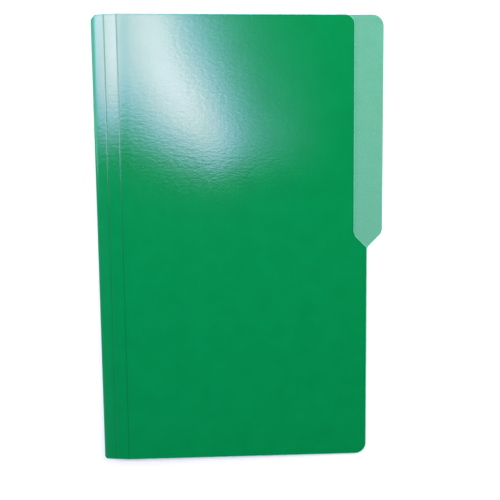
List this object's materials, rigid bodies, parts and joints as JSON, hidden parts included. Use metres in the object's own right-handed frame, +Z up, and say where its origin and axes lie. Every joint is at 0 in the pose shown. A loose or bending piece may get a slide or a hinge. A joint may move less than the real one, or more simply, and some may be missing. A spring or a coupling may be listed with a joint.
{
  "type": "file folder",
  "caption": "Legal-size file folder of laminated card, with a half-cut side tab, a stepped front cover and a scored spine that opens flat or squares up to hold more paper.",
  "frame": {"origin": "centre of the closed folder's footprint, on the surface that it lies on", "axes": "+X from the fold towards the tab, +Y along the fold towards the tab's end, +Z up out of the front cover"},
  "size_m": [0.2414, 0.3746, 0.0063],
  "materials": {
    "card": "matte light green card, dyed through",
    "film": "clear gloss laminate over a deep green printed face"
  },
  "bodies": {
    "back_cover": {"back_cover_card": "card", "back_cover_film": "film"},
    "fold": {"fold_lower_card": "card", "fold_lower_film": "film", "fold_upper_card": "card", "fold_upper_film": "film"},
    "inner_strip": {"inner_strip_card": "card", "inner_strip_film": "film"},
    "outer_strip": {"outer_strip_card": "card", "outer_strip_film": "film"},
    "front_cover": {"front_cover_card": "card", "front_cover_film": "film"}
  },
  "joints": [
    {"name": "spine_expand", "type": "hinge", "parent": "back_cover", "child": "fold", "pos_m": [-0.12065, 0, 0], "axis": [0, 1, 0], "range_deg": [-82, 0]},
    {"name": "cover_open", "type": "hinge", "parent": "fold", "child": "inner_strip", "pos_m": [-0.12065, 0, 0.0036], "axis": [0, -1, 0], "range_deg": [0, 173]},
    {"name": "inner_score", "type": "hinge", "parent": "inner_strip", "child": "outer_strip", "pos_m": [-0.10967, 0, 0.00453], "axis": [0, 1, 0], "range_deg": [0, 82]},
    {"name": "outer_score", "type": "hinge", "parent": "outer_strip", "child": "front_cover", "pos_m": [-0.09878, 0, 0.00613], "axis": [0, -1, 0], "range_deg": [0, 9.4]}
  ],
  "couplings": [
    {"joint": "outer_score", "follows": "cover_open", "ratio": 0.054362},
    {"joint": "inner_score", "follows": "spine_expand", "ratio": -1}
  ]
}
